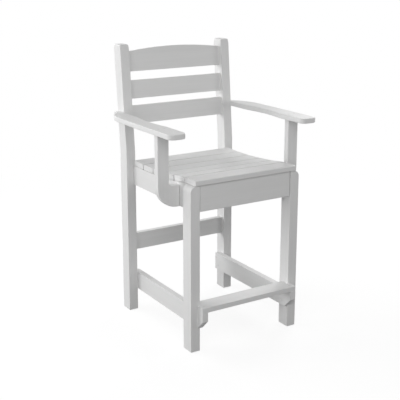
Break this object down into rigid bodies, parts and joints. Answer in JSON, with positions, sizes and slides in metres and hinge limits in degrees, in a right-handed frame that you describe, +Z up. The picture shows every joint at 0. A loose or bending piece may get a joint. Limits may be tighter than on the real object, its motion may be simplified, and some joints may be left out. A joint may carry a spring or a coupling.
{
  "type": "counter-height arm chair",
  "caption": "Counter-height arm chair of white plastic lumber boards, with a scooped slat seat, a leaning slat back, flat arms on J-shaped brackets and a footrest.",
  "frame": {"origin": "on the floor, under the middle of the chair's overall width and depth", "axes": "+Z up from the floor; -Y towards the front of the chair; +X to the right as seen from the front"},
  "size_m": [0.64, 0.5908, 1.0768],
  "materials": {
    "lumber": "solid white recycled-plastic board, matt, with a fine embossed grain along the board",
    "screw_steel": "plain stainless steel wood screws",
    "coated_screw": "stainless screws with heads coated in the boards' white"
  },
  "bodies": {
    "root": {"front_leg_left": "lumber", "front_leg_right": "lumber", "back_leg_left": "lumber", "back_leg_right": "lumber", "side_apron_left": "lumber", "side_apron_right": "lumber", "front_apron": "lumber", "rear_apron": "lumber", "seat_cleat_left": "lumber", "seat_cleat_right": "lumber", "seat_slat_1": "lumber", "seat_slat_2": "lumber", "seat_slat_3": "lumber", "seat_slat_4": "lumber", "seat_slat_5": "lumber", "seat_slat_6": "lumber", "back_slat_lower": "lumber", "back_slat_middle": "lumber", "back_slat_top": "lumber", "arm_left": "lumber", "arm_right": "lumber", "arm_bracket_left": "lumber", "arm_bracket_right": "lumber", "side_stretcher_left": "lumber", "side_stretcher_right": "lumber", "footrest": "lumber", "back_rail": "lumber", "seat_slat_screws": "screw_steel", "seat_cleat_screws": "screw_steel", "apron_screws": "screw_steel", "rear_apron_screws": "screw_steel", "front_apron_screws": "screw_steel", "arm_bracket_screws": "screw_steel", "stretcher_screws": "coated_screw", "back_slat_screws": "coated_screw", "back_rail_screws": "coated_screw", "arm_screws": "coated_screw", "arm_tail_screws": "coated_screw", "footrest_screws": "coated_screw"}
  },
  "joints": []
}
